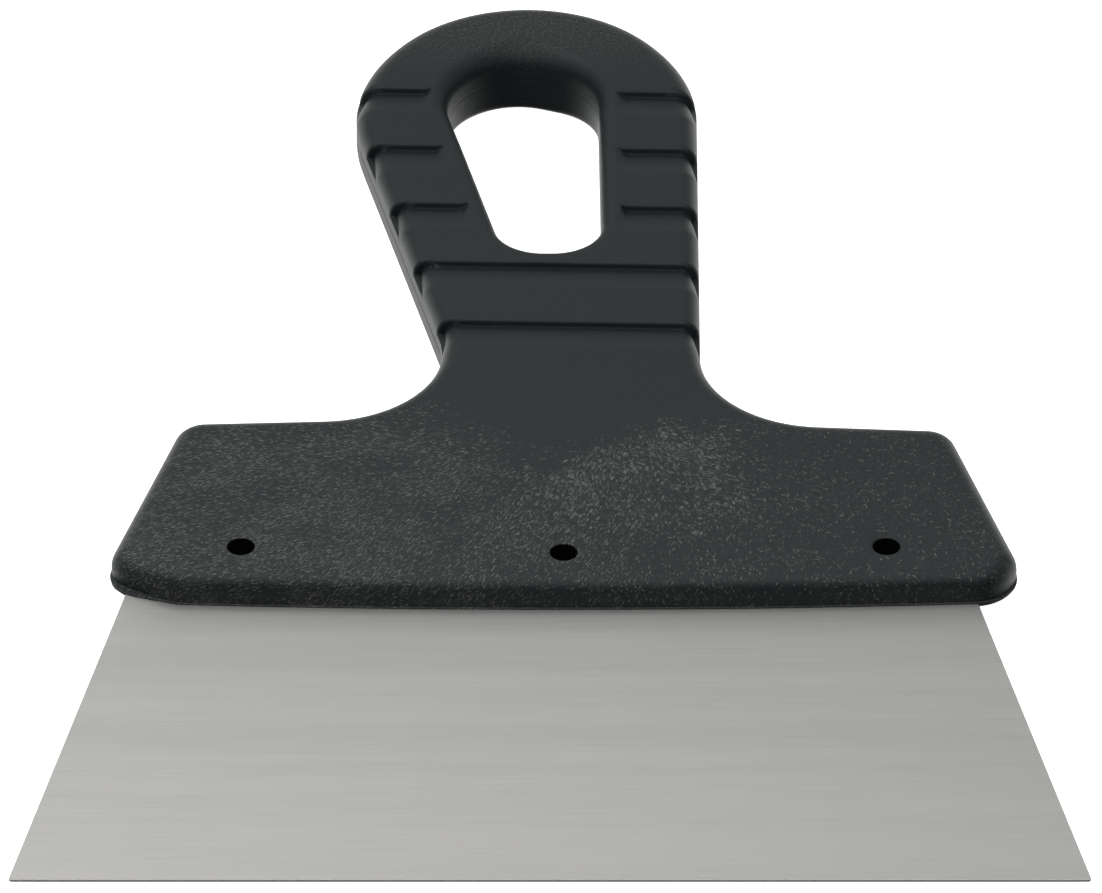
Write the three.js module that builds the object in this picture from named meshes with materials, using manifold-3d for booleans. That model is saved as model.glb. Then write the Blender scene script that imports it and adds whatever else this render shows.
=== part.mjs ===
// A wide drywall taping knife, lying flat with the front of its handle up.
//
// X runs across the blade, Y from the working edge to the finger loop, Z up.
// The three pieces are drawn with Y = 0 at the working edge and Z = 0 at the handle's back
// face. The whole group is then moved back by half the length, so that the origin is under
// the middle of the tool.

import * as THREE from 'three';
import { mergeVertices } from 'three/addons/utils/BufferGeometryUtils.js';
import Module from 'manifold-3d';

const wasm = await Module();
wasm.setup();

// ---------------------------------------------------------------- driving dimensions (mm)

const GAP = 0.3; // clearance between neighbouring pieces
const CHORD_ERROR = 0.06; // how far a facet may lie inside its arc

// Handle thickness: the blade lies in the middle of it.
const HANDLE_THICKNESS = 13.2;
const SPLIT_HEIGHT = HANDLE_THICKNESS / 2;

// The finger loop's end is a little longer than it is wide: its two sides curve on larger
// circles than its tip does.
const LOOP_X = -4.7;
const LOOP_SIDE_Y = 237.1;
const LOOP_HALF_WIDTH = 34.0;
const LOOP_SIDE_SHIFT = 2.4; // how far each side's circle is centred past the middle
const LOOP_SIDE_RADIUS = LOOP_HALF_WIDTH + LOOP_SIDE_SHIFT;
const LOOP_TIP_RADIUS = 32.5;
const TOTAL_LENGTH = 273;

// The handle's outline is a belt round ten pegs, listed anticlockwise from above.
// A turn of 1 is an outside corner, and -1 is an inside corner.
const HANDLE_PEGS = [
  { x: -76.6, y: 89.6, r: 7.0, turn: 1 }, // head, near left corner, side
  { x: -70.0, y: 87.9, r: 7.0, turn: 1 }, // head, near left corner, foot
  { x: 80.9, y: 88.8, r: 7.9, turn: 1 }, // head, near right corner
  { x: 72.4, y: 125.5, r: 6.1, turn: 1 }, // head, far right corner
  { x: 53.1, y: 156.7, r: 23.9, turn: -1 }, // right side of the neck
  { x: LOOP_X - LOOP_SIDE_SHIFT, y: LOOP_SIDE_Y, r: LOOP_SIDE_RADIUS, turn: 1 }, // loop, right side
  { x: LOOP_X, y: TOTAL_LENGTH - LOOP_TIP_RADIUS, r: LOOP_TIP_RADIUS, turn: 1 }, // loop, tip
  { x: LOOP_X + LOOP_SIDE_SHIFT, y: LOOP_SIDE_Y, r: LOOP_SIDE_RADIUS, turn: 1 }, // loop, left side
  { x: -44.4, y: 158.1, r: 23.4, turn: -1 }, // left side of the neck
  { x: -66.3, y: 127.4, r: 6.4, turn: 1 }, // head, far left corner
];

// The finger hole is a belt round four pegs.
const HOLE_PEGS = [
  { x: -1.3, y: 198.1, r: 9.6, turn: 1 },
  { x: 0.5, y: 198.1, r: 9.6, turn: 1 },
  { x: -1.9, y: 239.7, r: 11.6, turn: 1 },
  { x: -6.5, y: 238.7, r: 14.0, turn: 1 },
];

// Rounding of the handle's edges, by distance from the working edge.
const EDGE_RADII = [
  { y: 82, r: 3.0 },
  { y: 92, r: 4.2 },
  { y: 135, r: 4.2 },
  { y: 155, r: 3.7 },
  { y: 225, r: 3.7 },
  { y: 250, r: 4.8 },
];
const HOLE_EDGE_RADII = [
  { y: 225, r: 2.8 },
  { y: 248, r: 3.8 },
];
const HOLE_BACK_RADII = [{ y: 225, r: 2.0 }];
const ROUNDING_STEPS = 4;

// At its far end the finger hole's wall leans outwards towards the front, most at the middle.
const HOLE_FLARE_X = -4.0;
const HOLE_FLARE_REACH = 9; // the flare fades over this distance to either side
const HOLE_FLARE_WIDTH = 4.0; // how much further out the wall is at the front than at the back
const HOLE_FLARE_START_Y = 240; // there is no flare nearer the working edge than this
const HOLE_FLARE_RANGE = 8;
const FRONT_FLARE = 0.85; // share of the flare that is reached where the front edge starts to round
const BACK_FLARE = 0.15; // and where the back edge does

// The head's near edge bows away from the working edge towards both ends.
const HEAD_MIDDLE_X = 2.6;
const HEAD_HALF_WIDTH = 83;
const HEAD_BOW = 2.0;
const HEAD_BOW_END_Y = 135; // the bow has died out here
const HEAD_BOW_RANGE = 50;
const HEAD_EDGE_PIECES = 12;

// Blade
const EDGE_WIDTH = 200;
const BLADE_THICKNESS = 0.6;
const BLADE_TAPER = 0.225; // how much each side comes in per mm of length
const TANG_SHOULDER_Y = 88;
const TANG_HALF_WIDTH = 74;
const TANG_END_Y = 121;
const POCKET_START_Y = 70; // cutters at the head's near edge start here, outside the head

// Three open locating bores go right through the handle and the tang.
const BORE_RADIUS = 2.6;
const BORE_PITCH = 61.4;
const BORE_MIDDLE_Y = 90.8;
const BORE_BOW = 1.8; // the outer two lie this much further from the working edge
const BORE_FACETS = 28;

// Anchor pegs of the back half pass through the tang into sockets in the front half.
const ANCHOR_Y = 110;
const ANCHOR_PITCH = BORE_PITCH / 3;
const ANCHOR_STEPS = [-2, -1, 1, 2];
const ANCHOR_RADIUS = 3.7;
const SOCKET_DEPTH = 3;
const ANCHOR_FACETS = 24;

// The back of the head slopes down to a thin lip under the blade, so that the knife can be
// held flat against a wall.
const SLOPE_START_Y = 87; // the lip ends and the slope begins
const SLOPE_END_Y = 100; // the full thickness begins here
const LIP_THICKNESS = 1.0; // measured from the split

// Finger ribs: each groove is steep on its far side and rises gently towards the blade.
const GROOVE_COUNT = 5;
const FIRST_GROOVE_Y = 164.4;
const GROOVE_PITCH = 19.35;
const GROOVE_DEPTH = 1.5;
const GROOVE_RAMP = 8.2; // length of the gentle side
const GROOVE_TILT = THREE.MathUtils.degToRad(-1.5);
const GROOVE_STEEP = 0.5; // length of the steep side
const GROOVE_HOLE_MARGIN = 4.4; // plain rim left beside the finger hole
const GROOVE_WRAP_WIDTH = 2.4; // width of the stretch that goes on down the handle's edge
const GROOVE_WRAP_END = 2.8; // it ends this far above the split
const GROOVE_REACH = 60; // cutters run this far to each side, past the grip

// ---------------------------------------------------------------- outlines

// Points along a belt stretched round pegs, each with the outward direction there.
function beltRoundPegs(pegs) {
  const normals = pegs.map((peg, i) => {
    const next = pegs[(i + 1) % pegs.length];
    const dx = next.x - peg.x;
    const dy = next.y - peg.y;
    const lean = (peg.turn * peg.r - next.turn * next.r) / Math.hypot(dx, dy);
    return Math.atan2(dy, dx) - Math.acos(lean);
  });
  const points = [];
  pegs.forEach((peg, i) => {
    const start = normals[(i + pegs.length - 1) % pegs.length];
    const full = 2 * Math.PI;
    let sweep = (normals[i] - start) % full;
    if (peg.turn > 0 && sweep < 0) sweep += full;
    if (peg.turn < 0 && sweep > 0) sweep -= full;
    const step = 2 * Math.acos(1 - CHORD_ERROR / peg.r);
    const count = Math.ceil(Math.abs(sweep) / step);
    for (let k = 0; k <= count; k++) {
      const angle = start + (sweep * k) / count;
      const nx = Math.cos(angle);
      const ny = Math.sin(angle);
      points.push({ x: peg.x + peg.turn * peg.r * nx, y: peg.y + peg.turn * peg.r * ny, nx, ny });
    }
  });
  return points;
}

// Splits the head's near edge, the longest straight run, so that it can bow.
function splitLongestRun(points, pieces) {
  const length = (i) => {
    const next = points[(i + 1) % points.length];
    return Math.hypot(next.x - points[i].x, next.y - points[i].y);
  };
  const indices = points.map((_, i) => i);
  const longest = indices.reduce((best, i) => (length(i) > length(best) ? i : best), 0);
  const from = points[longest];
  const to = points[(longest + 1) % points.length];
  const added = [];
  for (let k = 1; k < pieces; k++) {
    const t = k / pieces;
    const x = THREE.MathUtils.lerp(from.x, to.x, t);
    const y = THREE.MathUtils.lerp(from.y, to.y, t);
    added.push({ ...from, x, y });
  }
  return [...points.slice(0, longest + 1), ...added, ...points.slice(longest + 1)];
}

function bowed(point) {
  const across = (point.x - HEAD_MIDDLE_X) / HEAD_HALF_WIDTH;
  const fade = THREE.MathUtils.clamp((HEAD_BOW_END_Y - point.y) / HEAD_BOW_RANGE, 0, 1);
  return { ...point, y: point.y + HEAD_BOW * across * across * fade };
}

// The radius at y, on straight lines between the listed ones.
function radiusAt(y, radii) {
  let radius = radii[0].r;
  for (let i = 1; i < radii.length; i++) {
    const before = radii[i - 1];
    const after = radii[i];
    const t = THREE.MathUtils.clamp((y - before.y) / (after.y - before.y), 0, 1);
    radius += (after.r - before.r) * t;
  }
  return radius;
}

const outerOutline = splitLongestRun(beltRoundPegs(HANDLE_PEGS), HEAD_EDGE_PIECES)
  .map(bowed)
  .map((point) => ({ ...point, r: radiusAt(point.y, EDGE_RADII), flare: 0 }));

// How far the finger hole's wall leans outwards, from back to front, at a point of its outline.
function holeFlareAt(x, y) {
  const share = Math.min(1, Math.max(0, (y - HOLE_FLARE_START_Y) / HOLE_FLARE_RANGE));
  const away = (x - HOLE_FLARE_X) / HOLE_FLARE_REACH;
  return share * HOLE_FLARE_WIDTH * Math.exp(-away * away);
}

// The hole runs clockwise. Its normals point out of the material, towards the hole's middle.
function holeOutlineWith(radii) {
  return beltRoundPegs(HOLE_PEGS)
    .reverse()
    .map((point) => ({
      ...point,
      nx: -point.nx,
      ny: -point.ny,
      r: radiusAt(point.y, radii),
      flare: holeFlareAt(point.x, point.y),
    }));
}

const holeFrontOutline = holeOutlineWith(HOLE_EDGE_RADII);
const holeBackOutline = holeOutlineWith(HOLE_BACK_RADII);

// ---------------------------------------------------------------- solids

function solidFrom(geometry) {
  const bare = geometry.clone();
  bare.deleteAttribute('normal');
  bare.deleteAttribute('uv');
  const merged = mergeVertices(bare);
  const vertProperties = new Float32Array(merged.attributes.position.array);
  const triVerts = new Uint32Array(merged.index.array);
  return new wasm.Manifold(new wasm.Mesh({ numProp: 3, vertProperties, triVerts }));
}

function geometryFrom(solid) {
  const mesh = solid.getMesh();
  const geometry = new THREE.BufferGeometry();
  geometry.setAttribute('position', new THREE.BufferAttribute(mesh.vertProperties, 3));
  geometry.setIndex(new THREE.BufferAttribute(mesh.triVerts, 1));
  return geometry;
}

// The outline at the foot of the side walls, where the hole has half of its flare.
function footRing(height, shrink, holeOutline) {
  return [...outerOutline, ...holeOutline].map((point) => {
    const inset = point.flare / 2 + shrink;
    return [point.x - point.nx * inset, point.y - point.ny * inset, height];
  });
}

// One ring of points at a given turn of the rounding: 0 is the side wall and 1 is the face.
// flareShare is how much of the hole's flare has been reached there.
function ringAt(turn, faceHeight, shrink, holeOutline, flareShare) {
  const angle = (turn * Math.PI) / 2;
  return [...outerOutline, ...holeOutline].map((point) => {
    const inset = point.r * (1 - Math.cos(angle)) + point.flare * flareShare + shrink;
    const height = faceHeight - point.r * (1 - Math.sin(angle));
    return [point.x - point.nx * inset, point.y - point.ny * inset, height];
  });
}

// Half of the handle: flat at the bottom, with a rounded edge round its top face.
// shrink draws the same shape smaller by that much, on its sides and its face.
function halfPlate(bottomHeight, faceHeight, shrink, holeOutline, flareShare) {
  const rings = [footRing(bottomHeight, shrink, holeOutline)];
  for (let step = 0; step <= ROUNDING_STEPS; step++) {
    rings.push(ringAt(step / ROUNDING_STEPS, faceHeight, shrink, holeOutline, flareShare));
  }
  const outerCount = outerOutline.length;
  const ringCount = outerCount + holeOutline.length;
  const index = [];
  const addWall = (ring, first, count) => {
    for (let i = 0; i < count; i++) {
      const here = ring * ringCount + first + i;
      const next = ring * ringCount + first + ((i + 1) % count);
      index.push(here, next, next + ringCount);
      index.push(here, next + ringCount, here + ringCount);
    }
  };
  for (let ring = 0; ring < rings.length - 1; ring++) {
    addWall(ring, 0, outerCount);
    addWall(ring, outerCount, holeOutline.length);
  }
  const addCap = (ring, facingUp) => {
    const flat = rings[ring].map(([x, y]) => new THREE.Vector2(x, y));
    const faces = THREE.ShapeUtils.triangulateShape(flat.slice(0, outerCount), [flat.slice(outerCount)]);
    faces.forEach((face) => {
      const [a, b, c] = face.map((i) => i + ring * ringCount);
      index.push(...(facingUp ? [a, b, c] : [c, b, a]));
    });
  };
  addCap(0, false);
  addCap(rings.length - 1, true);
  const geometry = new THREE.BufferGeometry();
  geometry.setAttribute('position', new THREE.Float32BufferAttribute(rings.flat(2), 3));
  geometry.setIndex(index);
  return solidFrom(geometry);
}

function postAt(x, y, radius, bottom, top, facets) {
  const geometry = new THREE.CylinderGeometry(radius, radius, top - bottom, facets);
  geometry.rotateX(Math.PI / 2);
  geometry.translate(x, y, (bottom + top) / 2);
  return geometry;
}

function shapeFrom(points) {
  return new THREE.Shape(points.map(([x, y]) => new THREE.Vector2(x, y)));
}

// A straight bar whose section is given as [along Y, height] pairs.
function bar(section, fromX, toX) {
  const shape = shapeFrom(section);
  const geometry = new THREE.ExtrudeGeometry(shape, { depth: toX - fromX, bevelEnabled: false });
  // The section's first axis becomes Y, its second Z, and the extrusion runs along X.
  geometry.rotateX(Math.PI / 2);
  geometry.rotateZ(Math.PI / 2);
  geometry.translate(fromX, 0, 0);
  return geometry;
}

// ---------------------------------------------------------------- places shared by the pieces

const borePlaces = [-1, 0, 1].map((side) => ({
  x: HEAD_MIDDLE_X + side * BORE_PITCH,
  y: BORE_MIDDLE_Y + Math.abs(side) * BORE_BOW,
}));

const anchorPlaces = ANCHOR_STEPS.map((step) => ({
  x: HEAD_MIDDLE_X + step * ANCHOR_PITCH,
  y: ANCHOR_Y,
}));

// Outline of the blade and its tang, grown by a clearance, from startY onwards.
function bladeOutline(startY, clearance) {
  const side = (y) => EDGE_WIDTH / 2 - BLADE_TAPER * y + clearance;
  const shoulder = TANG_SHOULDER_Y + clearance;
  const end = TANG_END_Y + clearance;
  const left = HEAD_MIDDLE_X - TANG_HALF_WIDTH - clearance;
  const right = HEAD_MIDDLE_X + TANG_HALF_WIDTH + clearance;
  return [
    [-side(startY), startY],
    [side(startY), startY],
    [side(shoulder), shoulder],
    [right, shoulder],
    [right, end],
    [left, end],
    [left, shoulder],
    [-side(shoulder), shoulder],
  ];
}

// ---------------------------------------------------------------- blade

function makeBlade() {
  const shape = shapeFrom(bladeOutline(0, 0));
  const addHole = ({ x, y }, radius) => {
    shape.holes.push(new THREE.Path().absarc(x, y, radius, 0, 2 * Math.PI, true));
  };
  borePlaces.forEach((place) => addHole(place, BORE_RADIUS));
  anchorPlaces.forEach((place) => addHole(place, ANCHOR_RADIUS + GAP));
  const geometry = new THREE.ExtrudeGeometry(shape, {
    depth: BLADE_THICKNESS,
    bevelEnabled: false,
    curveSegments: ANCHOR_FACETS,
  });
  geometry.translate(0, 0, SPLIT_HEIGHT - BLADE_THICKNESS / 2);
  return geometryFrom(solidFrom(geometry));
}

// ---------------------------------------------------------------- handle halves

// The shallow recess that takes the tang, as a slab centred on the split.
function tangPocket() {
  const depth = BLADE_THICKNESS + 2 * GAP;
  const shape = shapeFrom(bladeOutline(POCKET_START_Y, GAP));
  const geometry = new THREE.ExtrudeGeometry(shape, { depth, bevelEnabled: false });
  geometry.translate(0, 0, SPLIT_HEIGHT - depth / 2);
  return solidFrom(geometry);
}

function cutBores(half) {
  return borePlaces.reduce((solid, { x, y }) => {
    const drill = postAt(x, y, BORE_RADIUS, -1, HANDLE_THICKNESS + 1, BORE_FACETS);
    return solid.subtract(solidFrom(drill));
  }, half);
}

// Where the rim of the finger hole crosses a line of constant Y, or null beyond the hole.
function holeSpanAt(y) {
  const crossings = [];
  holeFrontOutline.forEach((point, i) => {
    const next = holeFrontOutline[(i + 1) % holeFrontOutline.length];
    if ((point.y - y) * (next.y - y) < 0) {
      crossings.push(point.x + ((next.x - point.x) * (y - point.y)) / (next.y - point.y));
    }
  });
  return crossings.length < 2 ? null : [Math.min(...crossings), Math.max(...crossings)];
}

// Stretches of the grip, from outside to outside, that the groove at this Y runs across.
function grooveRuns(y) {
  const span = holeSpanAt(y);
  if (!span) return [[-GROOVE_REACH, GROOVE_REACH]];
  return [
    [-GROOVE_REACH, span[0] - GROOVE_HOLE_MARGIN],
    [span[1] + GROOVE_HOLE_MARGIN, GROOVE_REACH],
  ];
}

function cutGrooves(frontHalf) {
  const face = HANDLE_THICKNESS;
  const above = face + 1;
  const core = halfPlate(SPLIT_HEIGHT, face - GROOVE_DEPTH, GROOVE_DEPTH, holeFrontOutline, FRONT_FLARE);
  const rampSection = [
    [-GROOVE_RAMP, face],
    [-GROOVE_STEEP, face - GROOVE_DEPTH],
    [0, above],
    [-GROOVE_RAMP, above],
  ];
  const wrapSection = [
    [-GROOVE_WRAP_WIDTH, SPLIT_HEIGHT + GROOVE_WRAP_END],
    [-GROOVE_STEEP, SPLIT_HEIGHT + GROOVE_WRAP_END],
    [0, above],
    [-GROOVE_WRAP_WIDTH, above],
  ];
  let solid = frontHalf;
  for (let i = 0; i < GROOVE_COUNT; i++) {
    const y = FIRST_GROOVE_Y + i * GROOVE_PITCH;
    grooveRuns(y).forEach(([fromX, toX]) => {
      const cutters = [rampSection, wrapSection].map((section) => {
        const geometry = bar(section, fromX, toX);
        geometry.rotateZ(GROOVE_TILT);
        geometry.translate(0, y, 0);
        return solidFrom(geometry);
      });
      solid = solid.subtract(cutters[0]).subtract(cutters[1].subtract(core));
    });
  }
  return solid;
}

function makeFrontHalf() {
  let half = halfPlate(SPLIT_HEIGHT + GAP / 2, HANDLE_THICKNESS, 0, holeFrontOutline, FRONT_FLARE);
  half = cutGrooves(half);
  half = half.subtract(tangPocket());
  anchorPlaces.forEach(({ x, y }) => {
    const top = SPLIT_HEIGHT + BLADE_THICKNESS / 2 + GAP + SOCKET_DEPTH;
    half = half.subtract(solidFrom(postAt(x, y, ANCHOR_RADIUS + GAP, SPLIT_HEIGHT, top, ANCHOR_FACETS)));
  });
  return geometryFrom(cutBores(half));
}

// What the slope takes away from the back half, drawn with that half's face up.
function slopeCutter() {
  const lipHeight = SPLIT_HEIGHT + LIP_THICKNESS;
  const above = HANDLE_THICKNESS + 1;
  const rise = (HANDLE_THICKNESS - lipHeight) / (SLOPE_END_Y - SLOPE_START_Y);
  const section = [
    [POCKET_START_Y, lipHeight],
    [SLOPE_START_Y, lipHeight],
    [SLOPE_END_Y + (above - HANDLE_THICKNESS) / rise, above],
    [POCKET_START_Y, above],
  ];
  return solidFrom(bar(section, -EDGE_WIDTH / 2, EDGE_WIDTH / 2));
}

function makeBackHalf() {
  // Built with its face up, like the front half, and then turned over about the split.
  let half = halfPlate(SPLIT_HEIGHT + GAP / 2, HANDLE_THICKNESS, 0, holeBackOutline, BACK_FLARE);
  half = cutBores(half.subtract(tangPocket())).subtract(slopeCutter());
  const turned = geometryFrom(half);
  turned.scale(1, 1, -1);
  turned.translate(0, 0, HANDLE_THICKNESS);
  const corners = turned.index.array;
  for (let i = 0; i < corners.length; i += 3) {
    [corners[i], corners[i + 1]] = [corners[i + 1], corners[i]];
  }
  let back = solidFrom(turned);
  anchorPlaces.forEach(({ x, y }) => {
    const root = SPLIT_HEIGHT - BLADE_THICKNESS / 2 - GAP - SOCKET_DEPTH;
    const tip = SPLIT_HEIGHT + BLADE_THICKNESS / 2 + SOCKET_DEPTH;
    back = back.add(solidFrom(postAt(x, y, ANCHOR_RADIUS, root, tip, ANCHOR_FACETS)));
  });
  return geometryFrom(back);
}

// ---------------------------------------------------------------- materials and assembly

const steel = new THREE.MeshStandardMaterial({ color: 0xb2b1ae, roughness: 0.38, metalness: 1 });
const plastic = new THREE.MeshStandardMaterial({ color: 0x373c3d, roughness: 0.55, metalness: 0 });

function piece(name, geometry, material) {
  const mesh = new THREE.Mesh(geometry, material);
  mesh.name = name;
  return mesh;
}

const knife = new THREE.Group();
knife.add(
  piece('blade', makeBlade(), steel),
  piece('handle_front_half', makeFrontHalf(), plastic),
  piece('handle_back_half', makeBackHalf(), plastic),
);
knife.position.y = -TOTAL_LENGTH / 2;

export default knife;
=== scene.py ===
"""The looks of a drywall taping knife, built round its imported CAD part.

Lengths named here are in millimetres, in the tool's own frame: X runs across the blade,
Y goes from 0 at the working edge to the finger loop, and Z goes up from the handle's back.
placed() turns them into metres in the part's frame.
"""

import math

import bmesh
import bpy
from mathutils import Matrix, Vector
from mathutils.geometry import delaunay_2d_cdt


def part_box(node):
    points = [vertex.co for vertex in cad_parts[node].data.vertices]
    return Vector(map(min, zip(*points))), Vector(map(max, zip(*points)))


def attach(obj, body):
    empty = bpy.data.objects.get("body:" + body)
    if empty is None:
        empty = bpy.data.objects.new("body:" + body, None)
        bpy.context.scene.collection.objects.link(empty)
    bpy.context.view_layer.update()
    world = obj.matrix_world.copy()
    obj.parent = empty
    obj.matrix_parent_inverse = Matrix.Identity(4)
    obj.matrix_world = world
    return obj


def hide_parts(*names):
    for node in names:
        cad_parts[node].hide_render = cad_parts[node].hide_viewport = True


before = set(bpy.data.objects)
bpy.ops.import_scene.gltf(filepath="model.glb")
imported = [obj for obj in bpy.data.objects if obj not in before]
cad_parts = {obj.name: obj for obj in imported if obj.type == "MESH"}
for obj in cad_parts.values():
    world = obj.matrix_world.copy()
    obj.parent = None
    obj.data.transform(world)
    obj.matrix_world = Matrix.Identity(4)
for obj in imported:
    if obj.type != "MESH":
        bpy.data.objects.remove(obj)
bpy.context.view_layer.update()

MM = 0.001
EDGE_AT_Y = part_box("blade")[0].y
BACK_AT_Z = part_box("handle_back_half")[0].z

# ---------------------------------------------------------------- driving dimensions (mm)

FIT = 0.05  # gap between the two halves
POCKET_FIT = 0.03  # gap between a half and the tang
HANDLE_THICKNESS = 13.2
SPLIT_HEIGHT = HANDLE_THICKNESS / 2

# The finger loop's two sides curve on larger circles than its tip does.
LOOP_X = -4.7
LOOP_SIDE_Y = 237.1
LOOP_HALF_WIDTH = 34.0
LOOP_SIDE_SHIFT = 2.4
LOOP_SIDE_RADIUS = LOOP_HALF_WIDTH + LOOP_SIDE_SHIFT
LOOP_TIP_RADIUS = 32.5
TOTAL_LENGTH = 272.92

# The handle's outline is a belt round pegs, listed anticlockwise: x, y, radius, and a turn
# of 1 at an outside corner and -1 at an inside corner.
HANDLE_PEGS = [
    (-76.6, 89.6, 7.0, 1),
    (-70.0, 87.9, 7.0, 1),
    (80.9, 88.8, 7.9, 1),
    (72.4, 125.5, 6.1, 1),
    (53.1, 156.7, 23.9, -1),
    (LOOP_X - LOOP_SIDE_SHIFT, LOOP_SIDE_Y, LOOP_SIDE_RADIUS, 1),
    (LOOP_X, TOTAL_LENGTH - LOOP_TIP_RADIUS, LOOP_TIP_RADIUS, 1),
    (LOOP_X + LOOP_SIDE_SHIFT, LOOP_SIDE_Y, LOOP_SIDE_RADIUS, 1),
    (-44.4, 158.1, 23.4, -1),
    (-66.3, 127.4, 6.4, 1),
]
HOLE_PEGS = [
    (-1.3, 198.1, 9.6, 1),
    (0.5, 198.1, 9.6, 1),
    (-1.9, 239.7, 11.6, 1),
    (-6.5, 238.7, 14.0, 1),
]
# Rounding radius of the edges as (y, radius) pairs.
EDGE_RADII = [(82, 3.0), (92, 4.2), (135, 4.2), (155, 3.7), (225, 3.7), (250, 4.8)]
HOLE_EDGE_RADII = [(225, 2.8), (248, 3.8)]
HOLE_BACK_RADII = [(225, 2.0)]
# At its far end the finger hole's wall leans outwards towards the front, most at the middle.
HOLE_FLARE_X = -4.0
HOLE_FLARE_REACH = 9
HOLE_FLARE_WIDTH = 4.0
HOLE_FLARE_START_Y = 240
HOLE_FLARE_RANGE = 8

HEAD_MIDDLE_X = 2.6
HEAD_HALF_WIDTH = 83
HEAD_BOW = 2.0
HEAD_BOW_END_Y = 135
HEAD_BOW_RANGE = 50
GRIP_START_Y = 158

SLOPE_START_Y = 87
SLOPE_END_Y = 100
LIP_THICKNESS = 1.0
CORNER_LIP_THICKNESS = 0.45
CORNER_LIP_START = 72
CORNER_LIP_RANGE = 8

EDGE_WIDTH = 200
BLADE_THICKNESS = 0.6
BLADE_TAPER = 0.225
TANG_SHOULDER_Y = 88
TANG_HALF_WIDTH = 74
TANG_END_Y = 121
BLADE_CORNER_RADIUS = 0.5
BLADE_BREAK = 0.1

BORE_RADIUS = 2.6
BORE_PITCH = 61.4
BORE_MIDDLE_Y = 90.8
BORE_BOW = 1.8
BORE_RIM = 0.35
ANCHOR_Y = 110
ANCHOR_PITCH = BORE_PITCH / 3
ANCHOR_STEPS = [-2, -1, 1, 2]
ANCHOR_RADIUS = 3.7
SOCKET_DEPTH = 3
SOCKET_FIT = 0.3  # gap round and above each anchor peg
PEG_ROOT = 1  # each peg starts this far below the tang
ROUND_COUNT = 40  # sides of the bores and of the blade's holes
PEG_COUNT = 32

GROOVE_COUNT = 5
FIRST_GROOVE_Y = 164.4
GROOVE_PITCH = 19.35
GROOVE_DEPTH = 1.5
GROOVE_RAMP = 8.2
GROOVE_STEEP = 0.25
GROOVE_ROUND = 0.9
GROOVE_HOLLOW = 1.2
GROOVE_TILT = math.radians(-1.5)
GROOVE_HOLE_MARGIN = 4.4
GROOVE_HOLE_FADE = 1.6
LEDGE_BOTTOM = 2.6  # the grooves end this far above the split
LEDGE_TOP = 2.95
POCKET_START_Y = 70  # the pocket's cutter starts here, outside the head

# A thin foot of flash along the head's near edge, widest at its left corner: the place
# of its widest part, how far that reaches, and its width there. It stands out a little
# past the outline at both near corners.
FOOT_HEIGHT = 0.5
FLASH_WIDTH = 0.25
FLASH_CORNER = ((-80.5, 84.5), 5.0, 1.3)
FLASH_BULGES = [(-83.6, 88.5), (88.2, 87.0)]
FLASH_BULGE_REACH = 5.0
FLASH_BULGE = 0.25

# The seam is a small step in at the split: full along the grip, and this share of it on the
# head and in the finger hole.
SEAM_INSET = 0.12
SEAM_HEIGHT = 0.25
SEAM_SMALL_SHARE = 0.3
SEAM_START_Y = GRIP_START_Y - 20
ROUNDING_STEPS = 9
RIM_STEPS = 4
FLARE_END_SHARE = 0.4  # the hole's lean ends this share of the rounding's radius below the face
# Where the rounding comes down low, the wall's rings stay in order below it, this far apart
# for each mm of their heights.
WALL_RING_GAP = 0.02
WALL_RING_TOP = 4

# How finely the meshes are drawn.
FINE = 0.12  # spacing of the points that outlines are thinned from
MOST_TURN = math.radians(5)
GRIP_SPACING = 1.4
HEAD_SPACING = 2.2
BLADE_SPACING = 6
LOOP_MARGIN = 0.5  # inner points stay this far from the outlines
GRIP_MIDDLE_X = -3.0
GRIP_COLUMNS = 30  # to each side of the middle
GRIP_COLUMN_STEP = 1.3
GRIP_ROW_STEP = 1.5
LAST_ROW_Y = 264.0
HEAD_GRID_START_Y = 86
HEAD_ROWS = 20
HEAD_ROW_STEP = 4
HEAD_COLUMNS = 14  # to each side of the middle
HEAD_COLUMN_STEP = 5.6


# ---------------------------------------------------------------- small helpers


def clamp(value, low=0.0, high=1.0):
    return max(low, min(high, value))


def smooth(value):
    t = clamp(value)
    return t * t * (3 - 2 * t)


def along_table(table, y):
    """The value at y on straight lines between (y, value) pairs."""
    value = table[0][1]
    for (y0, v0), (y1, v1) in zip(table, table[1:]):
        value += (v1 - v0) * clamp((y - y0) / (y1 - y0))
    return value


def placed(x, y, z):
    return Vector((x * MM, EDGE_AT_Y + y * MM, BACK_AT_Z + z * MM))


# ---------------------------------------------------------------- outlines


def belt_round_pegs(pegs, spacing):
    """Points (x, y, nx, ny) along a belt round pegs, at most about spacing apart."""
    angles = []
    for i, (x, y, r, turn) in enumerate(pegs):
        nx, ny, nr, nturn = pegs[(i + 1) % len(pegs)]
        lean = (turn * r - nturn * nr) / math.hypot(nx - x, ny - y)
        angles.append(math.atan2(ny - y, nx - x) - math.acos(lean))
    points = []
    for i, (x, y, r, turn) in enumerate(pegs):
        start = angles[i - 1]
        sweep = math.fmod(angles[i] - start, 2 * math.pi)
        if turn > 0 and sweep < 0:
            sweep += 2 * math.pi
        if turn < 0 and sweep > 0:
            sweep -= 2 * math.pi
        count = max(2, math.ceil(abs(sweep) * r / spacing))
        arc = []
        for k in range(count + 1):
            a = start + sweep * k / count
            arc.append((x + turn * r * math.cos(a), y + turn * r * math.sin(a), math.cos(a), math.sin(a)))
        if points:
            points += straight_between(points[-1], arc[0], spacing)
        points += arc
    points += straight_between(points[-1], points[0], spacing)
    return points


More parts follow.
